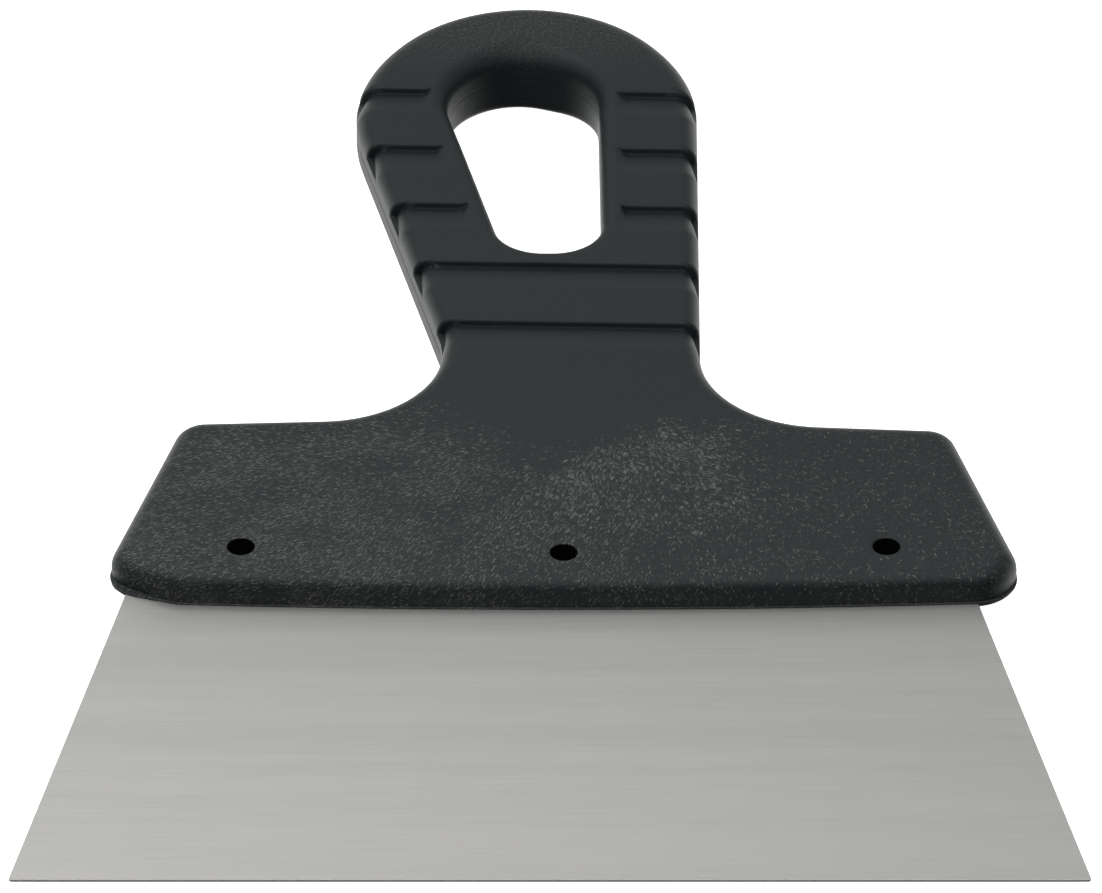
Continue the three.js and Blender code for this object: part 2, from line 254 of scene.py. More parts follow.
def straight_between(start, end, spacing):
    """Points strictly between two belt points on a straight run."""
    count = max(1, math.ceil(math.hypot(end[0] - start[0], end[1] - start[1]) / spacing))
    inner = []
    for k in range(1, count):
        t = k / count
        x = start[0] + (end[0] - start[0]) * t
        y = start[1] + (end[1] - start[1]) * t
        inner.append((x, y, start[2], start[3]))
    return inner


def bowed(x, y):
    across = (x - HEAD_MIDDLE_X) / HEAD_HALF_WIDTH
    fade = clamp((HEAD_BOW_END_Y - y) / HEAD_BOW_RANGE)
    return y + HEAD_BOW * across * across * fade


def groove_level(x, y):
    """Distance along the grip in the grooves' own tilted frame."""
    return y - x * math.tan(GROOVE_TILT)


# Levels that get their own row of points, from each groove's steep side towards the blade.
ROW_OFFSETS = [1.2, 0.9, 0.7, 0.52, 0.37, 0.24, 0.14, 0.06, 0.01, -0.08, -0.16, -0.25, -0.35, -0.5, -0.8]
ROW_OFFSETS += [-1.3, -2.0, -2.9, -3.9, -4.9, -5.9, -6.8, -7.5, -8.2, -8.8]
GROOVE_ROWS = sorted(
    FIRST_GROOVE_Y + i * GROOVE_PITCH + offset for i in range(GROOVE_COUNT) for offset in ROW_OFFSETS
)


def thinned(points):
    """Keeps the belt points that carry its shape, and one at each groove row."""
    kept = [points[0]]
    last = points[0]
    for before, here in zip(points, points[1:]):
        on_grip = here[1] > GRIP_START_Y
        turned = math.acos(clamp(last[2] * here[2] + last[3] * here[3], -1, 1))
        gone = math.hypot(here[0] - last[0], here[1] - last[1])
        low, high = sorted((groove_level(*before[:2]), groove_level(*here[:2])))
        at_row = on_grip and any(low < row <= high for row in GROOVE_ROWS)
        if at_row or turned > MOST_TURN or gone > (GRIP_SPACING if on_grip else HEAD_SPACING):
            kept.append(here)
            last = here
    return kept


outer_outline = [(x, bowed(x, y), nx, ny) for x, y, nx, ny in thinned(belt_round_pegs(HANDLE_PEGS, FINE))]
hole_outline = [(x, y, -nx, -ny) for x, y, nx, ny in reversed(thinned(belt_round_pegs(HOLE_PEGS, FINE)))]


# ---------------------------------------------------------------- finger grooves


def groove_depth(x, y):
    level = groove_level(x, y)
    for i in range(GROOVE_COUNT):
        back = FIRST_GROOVE_Y + i * GROOVE_PITCH - level
        if -GROOVE_ROUND <= back <= 0:
            return GROOVE_ROUND - math.sqrt(GROOVE_ROUND**2 - (back + GROOVE_ROUND) ** 2)
        if 0 < back <= GROOVE_STEEP:
            return GROOVE_ROUND + (GROOVE_DEPTH - GROOVE_ROUND) * math.sqrt(back / GROOVE_STEEP)
        if GROOVE_STEEP < back < GROOVE_RAMP:
            left = (GROOVE_RAMP - back) / (GROOVE_RAMP - GROOVE_STEEP)
            return GROOVE_DEPTH * left**GROOVE_HOLLOW
    return 0.0


def hole_distance(x, y):
    """How far a point outside the finger hole lies from its rim."""
    return min(math.hypot(x - point[0], y - point[1]) for point in hole_outline)


def groove_fade(x, y):
    return smooth((hole_distance(x, y) - GROOVE_HOLE_MARGIN) / GROOVE_HOLE_FADE + 0.5)


# ---------------------------------------------------------------- meshes


def triangulated(loops, inner_points):
    """Triangles between closed loops (the first outside, the rest holes), using inner_points too.

    Returns points and triangles; the loops' points come first, in their order.
    """
    points = [Vector(p) for loop in loops for p in loop]
    edges = []
    first = 0
    for loop in loops:
        n = len(loop)
        edges += [(first + i, first + (i + 1) % n) for i in range(n)]
        first += n
    points += [Vector(p) for p in inner_points]
    flat, _, faces, origins, _, _ = delaunay_2d_cdt(points, edges, [], 0, 1e-6)
    back = [o[0] if o else None for o in origins]
    triangles = []
    for face in faces:
        cx = sum(flat[i].x for i in face) / 3
        cy = sum(flat[i].y for i in face) / 3
        if inside((cx, cy), loops[0]) and not any(inside((cx, cy), loop) for loop in loops[1:]):
            triangles.append([back[i] for i in face])
    return points, triangles


def inside(point, loop):
    x, y = point
    hit = False
    for (x0, y0), (x1, y1) in zip(loop, loop[1:] + loop[:1]):
        if (y0 > y) != (y1 > y) and x < x0 + (x1 - x0) * (y - y0) / (y1 - y0):
            hit = not hit
    return hit


def circle(x, y, radius, count):
    return [
        (x + radius * math.cos(2 * math.pi * k / count), y + radius * math.sin(2 * math.pi * k / count))
        for k in range(count)
    ]


def object_from(name, vertices, faces):
    mesh = bpy.data.meshes.new(name)
    mesh.from_pydata([placed(*v) for v in vertices], [], faces)
    work = bmesh.new()
    work.from_mesh(mesh)
    bmesh.ops.recalc_face_normals(work, faces=work.faces)
    work.to_mesh(mesh)
    work.free()
    mesh.update()
    piece = bpy.data.objects.new(name, mesh)
    bpy.context.scene.collection.objects.link(piece)
    return piece


def shade(piece, angle=32):
    piece.data.shade_smooth()
    piece.data.set_sharp_from_angle(angle=math.radians(angle))


def cut(piece, cutter, operation="DIFFERENCE"):
    """Applies one boolean and removes the cutter."""
    modifier = piece.modifiers.new("cut", "BOOLEAN")
    modifier.operation = operation
    modifier.solver = "MANIFOLD"
    modifier.object = cutter
    bpy.context.view_layer.update()
    result = bpy.data.meshes.new_from_object(piece.evaluated_get(bpy.context.evaluated_depsgraph_get()))
    piece.modifiers.clear()
    old = piece.data
    piece.data = result
    result.name = piece.name
    bpy.data.meshes.remove(old)
    bpy.data.objects.remove(cutter)


def prism(name, outline, bottom, top):
    """A straight-sided solid on an anticlockwise outline, in mm."""
    n = len(outline)
    vertices = [(x, y, bottom) for x, y in outline] + [(x, y, top) for x, y in outline]
    faces = [list(range(n - 1, -1, -1)), list(range(n, 2 * n))]
    faces += [[i, (i + 1) % n, n + (i + 1) % n, n + i] for i in range(n)]
    return object_from(name, vertices, faces)


bore_places = [
    (HEAD_MIDDLE_X + side * BORE_PITCH, BORE_MIDDLE_Y + abs(side) * BORE_BOW) for side in (-1, 0, 1)
]
anchor_places = [(HEAD_MIDDLE_X + step * ANCHOR_PITCH, ANCHOR_Y) for step in ANCHOR_STEPS]


def blade_outline(start_y, clearance):
    def side(y):
        return EDGE_WIDTH / 2 - BLADE_TAPER * y + clearance

    shoulder = TANG_SHOULDER_Y + clearance
    end = TANG_END_Y + clearance
    left = HEAD_MIDDLE_X - TANG_HALF_WIDTH - clearance
    right = HEAD_MIDDLE_X + TANG_HALF_WIDTH + clearance
    return [
        (-side(start_y), start_y),
        (side(start_y), start_y),
        (side(shoulder), shoulder),
        (right, shoulder),
        (right, end),
        (left, end),
        (left, shoulder),
        (-side(shoulder), shoulder),
    ]


# ---------------------------------------------------------------- handle halves


def slope_scale(x, y):
    """How much of the back half's thickness is left there, from the slope behind the blade."""
    full = HANDLE_THICKNESS - SPLIT_HEIGHT
    at_corner = smooth((abs(x - HEAD_MIDDLE_X) - CORNER_LIP_START) / CORNER_LIP_RANGE)
    near = (LIP_THICKNESS + (CORNER_LIP_THICKNESS - LIP_THICKNESS) * at_corner) / full
    return near + (1 - near) * clamp((y - SLOPE_START_Y) / (SLOPE_END_Y - SLOPE_START_Y))


def face_points():
    """Inner points of a half's flat face: rows along the grip and a grid on the head."""
    points = []
    rows = list(GROOVE_ROWS)
    for before, after in zip(GROOVE_ROWS, GROOVE_ROWS[1:] + [LAST_ROW_Y]):
        count = math.ceil((after - before) / GRIP_ROW_STEP)
        rows += [before + (after - before) * k / count for k in range(1, count)]
    for row in rows:
        for k in range(-GRIP_COLUMNS, GRIP_COLUMNS + 1):
            x = GRIP_MIDDLE_X + k * GRIP_COLUMN_STEP
            points.append((x, row + x * math.tan(GROOVE_TILT)))
    for row in range(HEAD_ROWS):
        y = HEAD_GRID_START_Y + row * HEAD_ROW_STEP
        for k in range(-HEAD_COLUMNS, HEAD_COLUMNS + 1):
            points.append((HEAD_MIDDLE_X + k * HEAD_COLUMN_STEP, y))
    return points


def hole_flare(x, y):
    """How far the finger hole's wall leans outwards, from back to front."""
    share = smooth((y - HOLE_FLARE_START_Y) / HOLE_FLARE_RANGE)
    return share * HOLE_FLARE_WIDTH * math.exp(-(((x - HOLE_FLARE_X) / HOLE_FLARE_REACH) ** 2))


def fall_off(x, y, centre, reach):
    """1 at the centre, fading smoothly with the distance from it."""
    return math.exp(-((x - centre[0]) ** 2 + (y - centre[1]) ** 2) / reach**2)


def foot_width(x, y, ny):
    """How far a thin foot of moulding flash stands out below the front half's wall."""
    if y > HEAD_BOW_END_Y:
        return 0.0
    along_edge = FLASH_WIDTH * smooth(-ny * 2)
    centre, reach, width = FLASH_CORNER
    return along_edge + width * fall_off(x, y, centre, reach)


def flash_bulge(x, y):
    """How far the foot stands out past the outline."""
    return sum(FLASH_BULGE * fall_off(x, y, centre, FLASH_BULGE_REACH) for centre in FLASH_BULGES)


def far_enough(x, y, loop, margin):
    return all((x - px) ** 2 + (y - py) ** 2 > margin * margin for px, py in loop)


def build_half(name, ribbed):
    """One moulding, drawn with its face up; the back half is turned over afterwards."""
    face = HANDLE_THICKNESS
    outline = [(*p, along_table(EDGE_RADII, p[1])) for p in outer_outline]
    hole_radii = HOLE_EDGE_RADII if ribbed else HOLE_BACK_RADII
    hole = [(*p, along_table(hole_radii, p[1])) for p in hole_outline]
    hole_set = set(hole)
    low = SPLIT_HEIGHT + FIT / 2

    # Each ring is a kind with a height above the split, or a turn of the rounding.
    rings = [("split", 0.0), ("seam", SEAM_HEIGHT), ("seam", FOOT_HEIGHT), ("wall", FOOT_HEIGHT + 0.2)]
    rings += [("wall", 1.3), ("wall", LEDGE_BOTTOM), ("wall", LEDGE_TOP)]
    rings += [("round", k / ROUNDING_STEPS) for k in range(ROUNDING_STEPS + 1)]

    def ring_point(ring, point):
        x, y, nx, ny, radius = point
        kind, value = ring
        inset = 0.0
        up = 0.0
        on_hole = point in hole_set
        foot = 0.0 if on_hole or not ribbed else foot_width(x, y, ny)
        if kind == "split":
            inset = SEAM_SMALL_SHARE * SEAM_INSET if on_hole or y < SEAM_START_Y else SEAM_INSET
            height = low
        elif kind == "seam":
            height = low + value
            inset = -flash_bulge(x, y) if ribbed else 0.0
        elif kind == "wall":
            height = min(SPLIT_HEIGHT + value, face - radius - WALL_RING_GAP * (WALL_RING_TOP - value))
            inset = foot
        else:
            angle = value * math.pi / 2
            inset = foot + radius * (1 - math.cos(angle))
            height = face - radius * (1 - math.sin(angle))
            up = math.sin(angle)
        if on_hole:
            through = min(height, face - FLARE_END_SHARE * radius) / HANDLE_THICKNESS
            inset += hole_flare(x, y) * (through if ribbed else 1 - through)
        px = x - nx * inset
        py = y - ny * inset
        if ribbed and height > SPLIT_HEIGHT + LEDGE_BOTTOM + 0.1:
            depth = groove_depth(px, py) * groove_fade(px, py)
            level = math.sqrt(1 - up * up)
            px -= nx * level * depth
            py -= ny * level * depth
            height -= up * depth
        if not ribbed:
            height = SPLIT_HEIGHT + (height - SPLIT_HEIGHT) * slope_scale(px, py)
        return px, py, height

    vertices = []
    faces = []
    ring_starts = []
    for ring in rings:
        ring_starts.append(len(vertices))
        vertices += [ring_point(ring, p) for p in outline]
        vertices += [ring_point(ring, p) for p in hole]
    for first, count in ((0, len(outline)), (len(outline), len(hole))):
        for low_start, high_start in zip(ring_starts, ring_starts[1:]):
            for i in range(count):
                here = first + i
                after = first + (i + 1) % count
                faces.append([low_start + here, low_start + after, high_start + after, high_start + here])

    # The bores, with a small rounded rim, from the face down to the split.
    bore_rings = []
    for x, y in bore_places:
        loops = []
        for k in range(RIM_STEPS + 1):
            angle = k / RIM_STEPS * math.pi / 2
            radius = BORE_RADIUS + BORE_RIM * (1 - math.sin(angle))
            drop = BORE_RIM * (1 - math.cos(angle))
            loops.append((radius, face - drop))
        loops.append((BORE_RADIUS, low))
        starts = []
        for radius, height in loops:
            starts.append(len(vertices))
            for px, py in circle(x, y, radius, ROUND_COUNT):
                z = height
                if not ribbed:
                    z = SPLIT_HEIGHT + (height - SPLIT_HEIGHT) * slope_scale(px, py)
                vertices.append((px, py, z))
        for upper, lower in zip(starts, starts[1:]):
            for i in range(ROUND_COUNT):
                j = (i + 1) % ROUND_COUNT
                faces.append([upper + i, upper + j, lower + j, lower + i])
        bore_rings.append((starts[0], starts[-1]))

    def add_cap(ring_start, bore_column, inner, height_at):
        outer_ids = list(range(ring_start, ring_start + len(outline)))
        hole_ids = list(range(ring_start + len(outline), ring_start + len(outline) + len(hole)))
        bore_starts = [starts[bore_column] for starts in bore_rings]
        bore_ids = [list(range(start, start + ROUND_COUNT)) for start in bore_starts]
        loop_ids = [outer_ids, hole_ids] + bore_ids
        loops = [[vertices[i][:2] for i in ids] for ids in loop_ids]
        free = [
            p
            for p in inner
            if inside(p, loops[0])
            and not any(inside(p, loop) for loop in loops[1:])
            and all(far_enough(*p, loop, LOOP_MARGIN) for loop in loops)
        ]
        points, triangles = triangulated(loops, free)
        ids = [i for group in loop_ids for i in group]
        for p in points[len(ids):]:
            ids.append(len(vertices))
            vertices.append((p.x, p.y, height_at(p.x, p.y)))
        faces.extend([ids[i] for i in triangle] for triangle in triangles)

    def face_height(x, y):
        if ribbed:
            return face - groove_depth(x, y) * groove_fade(x, y)
        return SPLIT_HEIGHT + (face - SPLIT_HEIGHT) * slope_scale(x, y)

    add_cap(ring_starts[-1], 0, face_points(), face_height)
    add_cap(ring_starts[0], 1, [], None)
    if not ribbed:
        vertices = [(x, y, 2 * SPLIT_HEIGHT - z) for x, y, z in vertices]
    return object_from(name, vertices, faces)


def tang_pocket():
    depth = BLADE_THICKNESS + 2 * POCKET_FIT
    outline = blade_outline(POCKET_START_Y, POCKET_FIT)
    return prism("pocket", outline, SPLIT_HEIGHT - depth / 2, SPLIT_HEIGHT + depth / 2)


def build_front():
    half = build_half("handle_front_shell", True)
    cut(half, tang_pocket())
    top = SPLIT_HEIGHT + BLADE_THICKNESS / 2 + SOCKET_DEPTH + SOCKET_FIT
    for x, y in anchor_places:
        cut(half, prism("socket", circle(x, y, ANCHOR_RADIUS + SOCKET_FIT, PEG_COUNT), SPLIT_HEIGHT, top))
    return half


def build_back():
    half = build_half("handle_back_shell", False)
    cut(half, tang_pocket())
    bottom = SPLIT_HEIGHT - BLADE_THICKNESS / 2 - PEG_ROOT
    top = SPLIT_HEIGHT + BLADE_THICKNESS / 2 + SOCKET_DEPTH
    for x, y in anchor_places:
        cut(half, prism("peg", circle(x, y, ANCHOR_RADIUS, PEG_COUNT), bottom, top), "UNION")
    return half


# ---------------------------------------------------------------- blade


def round_hole(x, y, radius):
    """The outline of a round hole, with directions that point to its middle."""
    return [(px, py, (x - px) / radius, (y - py) / radius) for px, py in circle(x, y, radius, ROUND_COUNT)]


def build_blade():
    """The blade with its tang, its edges broken by a hair."""
    pegs = []
    corners = blade_outline(0, 0)
    for i, (x, y) in enumerate(corners):
        before = corners[i - 1]
        after = corners[(i + 1) % len(corners)]
        turn = (x - before[0]) * (after[1] - y) - (y - before[1]) * (after[0] - x)
        radius = BLADE_CORNER_RADIUS
        # The peg sits inside the corner, on its bisector.
        ax, ay = before[0] - x, before[1] - y
        bx, by = after[0] - x, after[1] - y
        la, lb = math.hypot(ax, ay), math.hypot(bx, by)
        ux, uy = ax / la + bx / lb, ay / la + by / lb
        half_angle = math.acos(clamp((ax * bx + ay * by) / (la * lb), -1, 1)) / 2
        reach = radius / math.sin(half_angle) / math.hypot(ux, uy)
        pegs.append((x + ux * reach, y + uy * reach, radius, 1 if turn > 0 else -1))
    outline = []
    for x, y, nx, ny in belt_round_pegs(pegs, FINE):
        last = outline[-1] if outline else None
        turned = last is None or abs(last[2] - nx) + abs(last[3] - ny) > 0.1
        if turned or math.hypot(x - last[0], y - last[1]) > BLADE_SPACING:
            outline.append((x, y, nx, ny))
    loops = [outline]
    loops += [round_hole(x, y, BORE_RADIUS) for x, y in bore_places]
    loops += [round_hole(x, y, ANCHOR_RADIUS + SOCKET_FIT) for x, y in anchor_places]
    low = SPLIT_HEIGHT - BLADE_THICKNESS / 2
    high = SPLIT_HEIGHT + BLADE_THICKNESS / 2
    rings = [(BLADE_BREAK, low), (0, low + BLADE_BREAK), (0, high - BLADE_BREAK), (BLADE_BREAK, high)]
    vertices = []
    faces = []
    starts = []
    for inset, height in rings:
        starts.append(len(vertices))
        for loop in loops:
            vertices += [(x - nx * inset, y - ny * inset, height) for x, y, nx, ny in loop]
    first = 0
    for loop in loops:
        n = len(loop)
        for a, b in zip(starts, starts[1:]):
            for i in range(n):
                j = (i + 1) % n
                faces.append([a + first + i, a + first + j, b + first + j, b + first + i])
        first += n
    for start in (starts[0], starts[-1]):
        flat = []
        at = start
        for loop in loops:
            flat.append([vertices[at + i][:2] for i in range(len(loop))])
            at += len(loop)
        _, triangles = triangulated(flat, [])
        faces += [[start + i for i in triangle] for triangle in triangles]
    return object_from("blade_steel_sheet", vertices, faces)


# ---------------------------------------------------------------- materials


def principled(name, colour, roughness, metallic=0.0):
    material = bpy.data.materials.new(name)
    material.use_nodes = True
    shader = material.node_tree.nodes["Principled BSDF"]
    shader.inputs["Base Color"].default_value = (*colour, 1)
    shader.inputs["Roughness"].default_value = roughness
    shader.inputs["Metallic"].default_value = metallic
    return material, shader


class Nodes:
    """Short ways to add shader nodes to one material."""

    def __init__(self, material):
        self.tree = material.node_tree

    def add(self, kind, inputs=(), **settings):
        node = self.tree.nodes.new(kind)
        for name, value in settings.items():
            setattr(node, name, value)
        for key, value in dict(inputs).items():
            if isinstance(value, bpy.types.NodeSocket):
                self.tree.links.new(value, node.inputs[key])
            else:
                node.inputs[key].default_value = value
        return node

    def math(self, operation, a, b=0.0, c=0.0):
        return self.add("ShaderNodeMath", {0: a, 1: b, 2: c}, operation=operation).outputs[0]

    def vector(self, operation, a, b=(0, 0, 0)):
        node = self.add("ShaderNodeVectorMath", {0: a, 1: b}, operation=operation)
        return node.outputs["Value" if operation in ("DOT_PRODUCT", "LENGTH", "DISTANCE") else "Vector"]

    def ramp(self, value, low, high, at_low=0.0, at_high=1.0):
        inputs = {"Value": value, "From Min": low, "From Max": high, "To Min": at_low, "To Max": at_high}
        return self.add("ShaderNodeMapRange", inputs, interpolation_type="SMOOTHSTEP").outputs["Result"]

    def noise(self, at, scale, detail=3.0, roughness=0.55):
        inputs = {"Vector": at, "Scale": scale, "Detail": detail, "Roughness": roughness}
        return self.add("ShaderNodeTexNoise", inputs).outputs["Fac"]

    def blend(self, share, a, b):
        """The colour between a and b. Inputs 6 and 7 and output 2 are the node's colour sockets."""
        node = self.add("ShaderNodeMix", {0: share, 6: (*a, 1), 7: (*b, 1)}, data_type="RGBA")
        return node.outputs[2]


def in_millimetres(nodes):
    """The point's place on the piece, in mm in the tool's own frame."""
    place = nodes.add("ShaderNodeTexCoord").outputs["Object"]
    moved = nodes.vector("SUBTRACT", place, (0, EDGE_AT_Y, BACK_AT_Z))
    return nodes.vector("MULTIPLY", moved, (1 / MM, 1 / MM, 1 / MM))


PLASTIC_DARK = (0.0090, 0.0142, 0.0150)
PLASTIC_PALE = (0.126, 0.132, 0.124)
GATE = (3.0, 141.0)  # the flow marks point away from here, in mm
DENSE_PATCH = (17.0, 117.0)  # they are densest and coarsest here
GRID_TURN = math.radians(27)
DASH_SWING = 1.5  # how strongly a dash may turn off its heading
# Cell size, half length and half width of each layer's dashes in mm, and its shift.
FINE_DASHES = (0.62, 0.5, 0.15, 0.0)
MIDDLE_DASHES = (0.85, 0.72, 0.18, 53.0)
COARSE_DASHES = (1.15, 0.8, 0.36, 131.0)


def flow_dashes(nodes, flat, density, layer):
    """Short pale dashes that point away from the gate, at most one in each cell."""
    cell, length, width, shift = layer
    # The cells stand on a turned grid, so that the dashes don't line up in columns.
    grid = {"rotation_type": "Z_AXIS"}
    turned_flat = nodes.add("ShaderNodeVectorRotate", {"Vector": flat, "Angle": GRID_TURN}, **grid)
    turned_gate = nodes.add("ShaderNodeVectorRotate", {"Vector": (*GATE, 0), "Angle": GRID_TURN}, **grid)
    offset_place = (shift, 0.37 * shift, 0)
    moved = nodes.vector("ADD", turned_flat.outputs["Vector"], offset_place)
    gate = nodes.vector("ADD", turned_gate.outputs["Vector"], offset_place)
    cells = nodes.add(
        "ShaderNodeTexVoronoi", {"Vector": moved, "Scale": 1 / cell}, voronoi_dimensions="2D", feature="F1"
    )
    middle = cells.outputs["Position"]
    away = nodes.vector("SUBTRACT", middle, gate)
    # Each dash is turned a little off its heading, by its cell's own chance.
    swing = nodes.vector("SUBTRACT", cells.outputs["Color"], (0.5, 0.5, 0))
    swing = nodes.vector("MULTIPLY", swing, (DASH_SWING, DASH_SWING, 0))
    heading = nodes.vector("NORMALIZE", nodes.vector("ADD", nodes.vector("NORMALIZE", away), swing))
    offset = nodes.vector("SUBTRACT", moved, middle)
    along = nodes.vector("DOT_PRODUCT", offset, heading)
    reach = nodes.vector("LENGTH", offset)
    across_squared = nodes.math("SUBTRACT", nodes.math("POWER", reach, 2), nodes.math("POWER", along, 2))
    along_part = nodes.math("POWER", nodes.math("DIVIDE", along, length), 2)
    across_part = nodes.math("DIVIDE", across_squared, width * width)
    shape = nodes.ramp(nodes.math("ADD", along_part, across_part), 1.0, 0.15)
    chance = nodes.add("ShaderNodeSeparateColor", {"Color": cells.outputs["Color"]})
    shown = nodes.ramp(nodes.math("SUBTRACT", density, chance.outputs["Red"]), 0.0, 0.25)
    strength = nodes.math("MULTIPLY_ADD", nodes.math("POWER", chance.outputs["Blue"], 2.0), 0.9, 0.1)
    return nodes.math("MULTIPLY", nodes.math("MULTIPLY", shape, shown), strength)


plastic, plastic_shader = principled("black_plastic", (0.0185, 0.0205, 0.0205), 0.48)


def paint_plastic():
    """Black plastic, with pale flow marks on the head and a fine grain everywhere."""
    nodes = Nodes(plastic)
    place = in_millimetres(nodes)
    height = nodes.add("ShaderNodeSeparateXYZ", {"Vector": place}).outputs["Z"]
    # Each wall carries on from the front face's pattern, unrolled the way that the wall faces.
    facing = nodes.add("ShaderNodeNewGeometry").outputs["Normal"]
    outwards = nodes.vector("MULTIPLY", facing, nodes.math("SUBTRACT", HANDLE_THICKNESS, height))
    parts = nodes.add("ShaderNodeSeparateXYZ", {"Vector": nodes.vector("ADD", place, outwards)})
    unrolled = parts.outputs["Y"]
    flat = nodes.add("ShaderNodeCombineXYZ", {"X": parts.outputs["X"], "Y": unrolled}).outputs["Vector"]
    on_head = nodes.ramp(unrolled, 146.0, 122.0)
    # The pale marks thin out towards the right: painted shade, where the light falls off.
    painted_shade_to_right = nodes.ramp(parts.outputs["X"], -50.0, 60.0, 1.0, 0.4)
    patchy = nodes.ramp(nodes.noise(flat, 0.07, 2.0), 0.3, 0.65, 0.45, 1.0)
    off_gate = nodes.ramp(nodes.vector("DISTANCE", flat, (*GATE, 0)), 8.0, 30.0)
    near_patch = nodes.ramp(nodes.vector("DISTANCE", flat, (*DENSE_PATCH, 0)), 42.0, 8.0)
    spread = nodes.math("MAXIMUM", painted_shade_to_right, near_patch)
    density = nodes.math("MULTIPLY", nodes.math("MULTIPLY", on_head, spread), patchy)
    density = nodes.math("MULTIPLY", density, off_gate)
    coarse = nodes.math("MULTIPLY", density, near_patch)
    layers = [
        flow_dashes(nodes, flat, density, FINE_DASHES),
        flow_dashes(nodes, flat, density, MIDDLE_DASHES),
        flow_dashes(nodes, flat, coarse, COARSE_DASHES),
    ]
    pale = nodes.math("MAXIMUM", nodes.math("MAXIMUM", layers[0], layers[1]), layers[2])
    haze = nodes.ramp(nodes.noise(flat, 1.6, 3.0, 0.8), 0.42, 0.68)
    # Towards the loop's tip the haze grows, so the tip is paler.
    paler_tip = nodes.ramp(unrolled, 246.0, 264.0, 0.0, 2.6)
    cloudiness = nodes.math("ADD", nodes.math("MULTIPLY_ADD", density, 0.7, 0.25), paler_tip)
    cloud = nodes.math("MULTIPLY", cloudiness, haze)
    amount = nodes.math("MULTIPLY_ADD", cloud, 0.15, pale)
    colour = nodes.blend(amount, PLASTIC_DARK, PLASTIC_PALE)
    nodes.tree.links.new(colour, plastic_shader.inputs["Base Color"])
    grain = nodes.noise(place, 3.0, 4.0, 0.6)
    bump = nodes.add("ShaderNodeBump", {"Strength": 0.55, "Distance": 0.0001, "Height": grain})
    nodes.tree.links.new(bump.outputs["Normal"], plastic_shader.inputs["Normal"])


paint_plastic()
plastic_shader.inputs["Specular IOR Level"].default_value = 0.33
STEEL_DARK = (0.455, 0.452, 0.436)
STEEL_PALE = (0.525, 0.519, 0.503)
steel, steel_shader = principled("brushed_steel", (0.485, 0.48, 0.466), 0.42, 1.0)
steel_shader.inputs["Anisotropic"].default_value = 0.8
steel_shader.inputs["Anisotropic Rotation"].default_value = 0.25


def paint_steel():
    """Fine grain along X over soft broad bands, with painted light: lighter towards the working edge and
    darker towards the head.
    """
    nodes = Nodes(steel)
    place = in_millimetres(nodes)
    fine = nodes.noise(nodes.vector("MULTIPLY", place, (0.05, 2.6, 0)), 1.0, 4.0, 0.7)
    broad = nodes.noise(nodes.vector("MULTIPLY", place, (0.004, 0.13, 0)), 1.0, 2.0)
    share = nodes.math("MULTIPLY_ADD", broad, 0.4, nodes.math("MULTIPLY", fine, 0.6))
    share = nodes.ramp(share, 0.3, 0.7)
    along = nodes.add("ShaderNodeSeparateXYZ", {"Vector": place}).outputs["Y"]
    # Painted light and shade: the steel is lighter towards the working edge and darker towards the head.
    share = nodes.math("ADD", share, nodes.ramp(along, 90.0, 0.0, -0.35, 0.4))
    colour = nodes.blend(share, STEEL_DARK, STEEL_PALE)
    nodes.tree.links.new(colour, steel_shader.inputs["Base Color"])
    normal = nodes.add("ShaderNodeNewGeometry").outputs["Normal"]
    nodes.tree.links.new(nodes.vector("CROSS_PRODUCT", normal, (0, 1, 0)), steel_shader.inputs["Tangent"])


paint_steel()
# The working edge is ground metal, rougher than the face; its lighter colour is a painted reflection of
# the pale table below.
ground_steel_painted_reflection, _ = principled("ground_edge_painted_reflection", (0.72, 0.71, 0.69), 0.6, 1.0)
# Painted shade: the bores' walls lie in shade, so they get a near-black material that hardly reflects.
bore_painted_shade, bore_shade_shader = principled("bore_painted_shade", (0.002, 0.002, 0.002), 1.0)
bore_shade_shader.inputs["Specular IOR Level"].default_value = 0.05
floor_material, floor_shader = principled("pale_floor", (0.9, 0.9, 0.9), 0.9)
floor_shader.inputs["Emission Color"].default_value = (1, 1, 1, 1)
floor_shader.inputs["Emission Strength"].default_value = 1.0

# ---------------------------------------------------------------- the pieces

front = build_front()
back = build_back()
blade = build_blade()
shade(front)
shade(back)
shade(blade)

for piece, material, slot, node in (
    (front, plastic, "handle_plastic", "handle_front_half"),
    (back, plastic, "handle_plastic", "handle_back_half"),
    (blade, steel, "blade_steel", "blade"),
):
    piece.data.materials.clear()
    piece.data.materials.append(material)
    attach(piece, "root")
    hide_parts(node)

# The bores' walls get painted shade, near-black, and the working edge is bare ground metal whose lighter
# colour is a painted reflection.
for piece in (front, back):
    piece.data.materials.append(bore_painted_shade)
    for polygon in piece.data.polygons:
        x = polygon.center.x / MM
        y = (polygon.center.y - EDGE_AT_Y) / MM
        near_axis = any(math.hypot(x - bx, y - by) < BORE_RADIUS + 0.02 for bx, by in bore_places)
        if near_axis and abs(polygon.normal.z) < 0.3:
            polygon.material_index = 1
blade.data.materials.append(ground_steel_painted_reflection)
for polygon in blade.data.polygons:
    if polygon.normal.y < -0.5 and polygon.center.y < EDGE_AT_Y + MM:
        polygon.material_index = 1

# ---------------------------------------------------------------- floor, light and camera

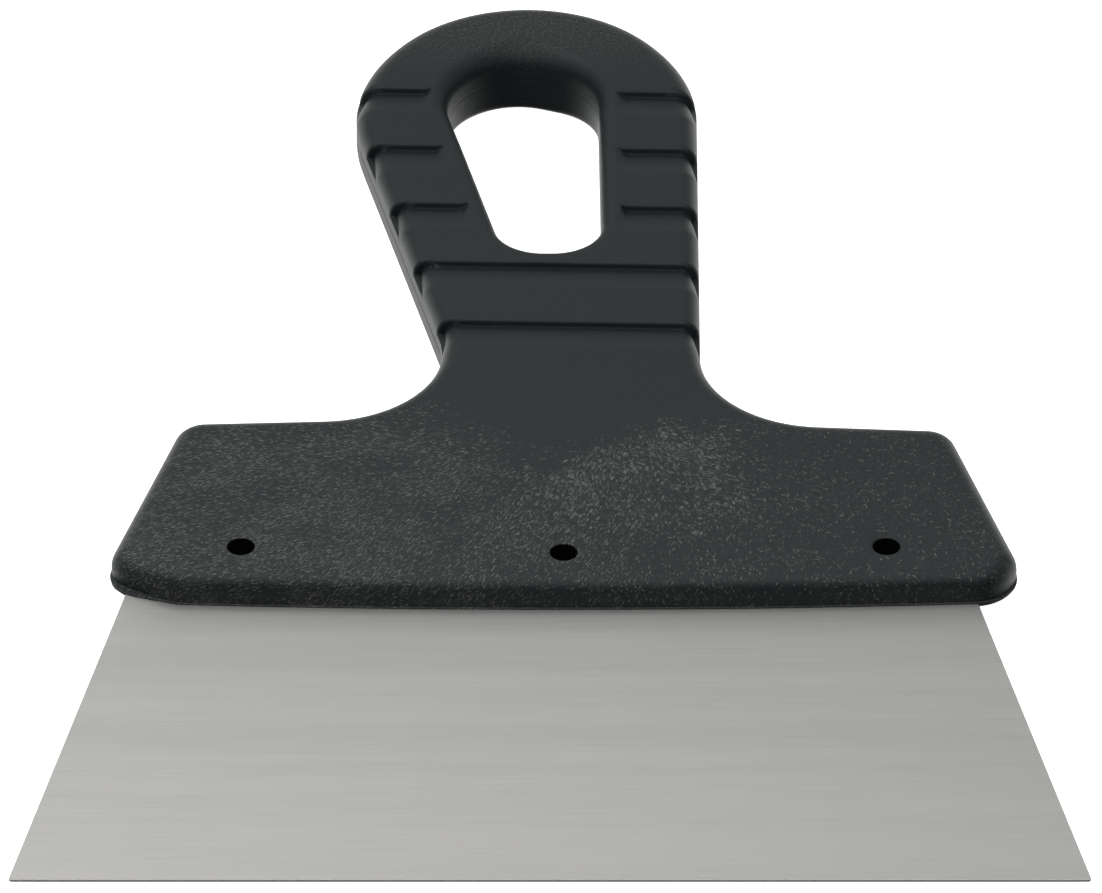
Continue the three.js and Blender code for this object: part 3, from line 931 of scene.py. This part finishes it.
FLOOR_SIZE = 6.0
FLOOR_DROP = 0.00005  # the floor is just clear of the flat back, so that the two don't coincide
half_floor = FLOOR_SIZE / 2
floor_mesh = bpy.data.meshes.new("floor")
floor_corners = [(-1, -1), (1, -1), (1, 1), (-1, 1)]
floor_points = [(x * half_floor, y * half_floor, BACK_AT_Z - FLOOR_DROP) for x, y in floor_corners]
floor_mesh.from_pydata(floor_points, [], [[0, 1, 2, 3]])
floor_mesh.materials.append(floor_material)
floor = bpy.data.objects.new("floor", floor_mesh)
bpy.context.scene.collection.objects.link(floor)
floor.visible_glossy = False
floor.visible_diffuse = False


def area_light(name, place, size_x, size_y, power):
    data = bpy.data.lights.new(name, "AREA")
    data.shape = "RECTANGLE"
    data.size = size_x
    data.size_y = size_y
    data.energy = power
    light = bpy.data.objects.new(name, data)
    light.location = place
    light.rotation_euler = (-Vector(place)).to_track_quat("-Z", "Y").to_euler()
    bpy.context.scene.collection.objects.link(light)


area_light("panel_above", (-0.10, -0.11, 0.54), 1.22, 0.79, 3.75)
area_light("panel_behind", (-0.25, 1.2, 0.8), 1.6, 0.6, 0.9)

# The surroundings are dim, with a pale table below them, except in front of the tool.
world = bpy.data.worlds.new("studio")
bpy.context.scene.world = world
world.use_nodes = True
sky = Nodes(world)
direction = sky.add("ShaderNodeTexCoord").outputs["Generated"]
axes = sky.add("ShaderNodeSeparateXYZ", {"Vector": direction})
table = sky.ramp(axes.outputs["Z"], 0.08, -0.12)
table_share = sky.ramp(axes.outputs["Y"], -0.65, 0.7, 0.0, 1.3)
behind = sky.ramp(axes.outputs["Y"], -0.45, 0.35, 0.06, 0.42)
glow = sky.math("MULTIPLY_ADD", table, table_share, behind)
sky.tree.links.new(glow, world.node_tree.nodes["Background"].inputs["Strength"])
world.node_tree.nodes["Background"].inputs["Color"].default_value = (1, 1, 1, 1)

CAMERA_RISE = math.radians(37.2)
CAMERA_DISTANCE = 2.36466
CAMERA_LENS = 400
SENSOR_WIDTH = 36
aim = placed(0.19, 132.594, SPLIT_HEIGHT)
camera_data = bpy.data.cameras.new("camera")
camera_data.lens = CAMERA_LENS
camera_data.sensor_width = SENSOR_WIDTH
camera_data.clip_end = 20
camera = bpy.data.objects.new("camera", camera_data)
camera.location = aim + CAMERA_DISTANCE * Vector((0, -math.cos(CAMERA_RISE), math.sin(CAMERA_RISE)))
camera.rotation_euler = (math.pi / 2 - CAMERA_RISE, 0, 0)
bpy.context.scene.collection.objects.link(camera)
bpy.context.scene.camera = camera
bpy.context.scene.view_settings.view_transform = "Standard"
